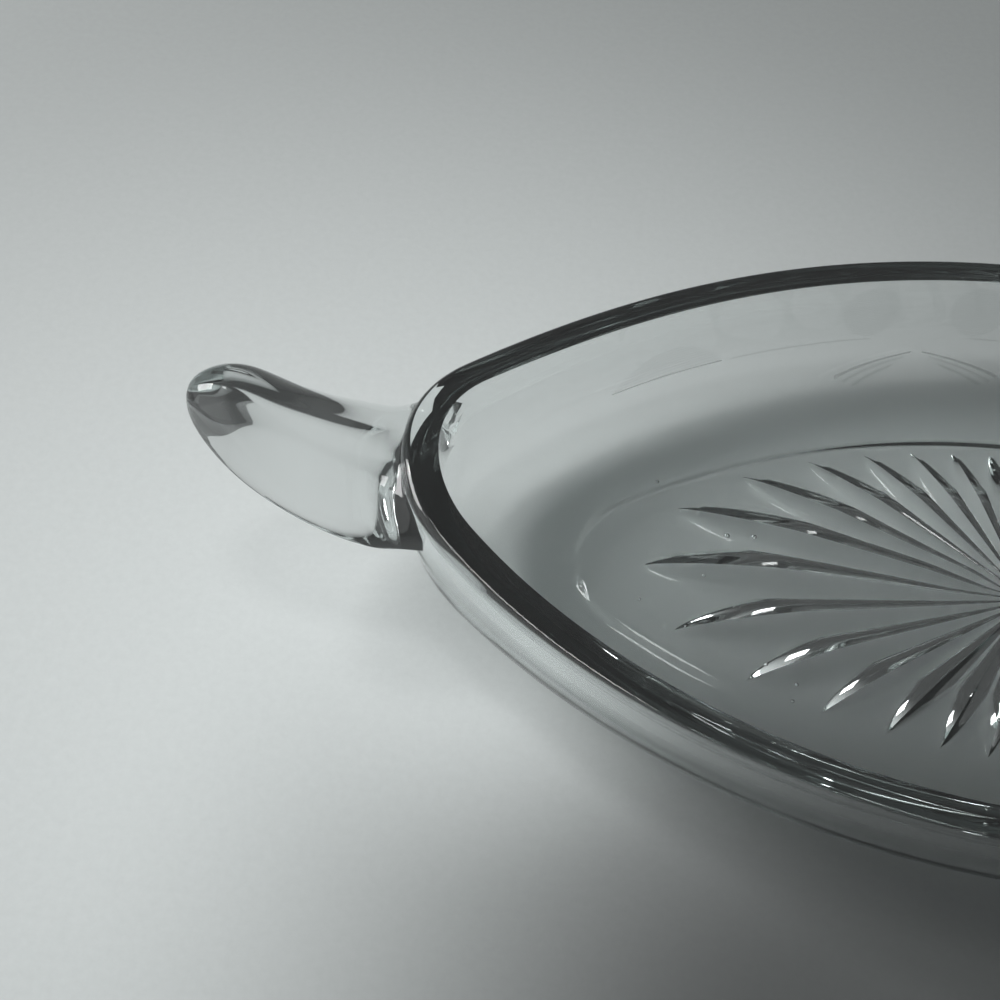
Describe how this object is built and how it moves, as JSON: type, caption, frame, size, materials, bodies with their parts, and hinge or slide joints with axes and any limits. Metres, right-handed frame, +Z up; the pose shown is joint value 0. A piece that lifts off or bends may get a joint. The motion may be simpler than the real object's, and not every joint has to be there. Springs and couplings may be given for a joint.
{
  "type": "oval glass relish dish",
  "caption": "Shallow oval dish of thick clear glass with a flat rim, a thumb tab rising from each end and a star cut into its underside; it holds pickles, olives or other relishes.",
  "frame": {"origin": "on the table under the middle of the bowl", "axes": "+X along the dish's long axis towards the right tab, +Y across it, +Z up"},
  "size_m": [0.263, 0.113, 0.0385],
  "materials": {
    "clear_glass": "fire-polished"
  },
  "bodies": {
    "root": {"bowl": "clear_glass", "handle_left": "clear_glass", "handle_right": "clear_glass"}
  },
  "joints": []
}
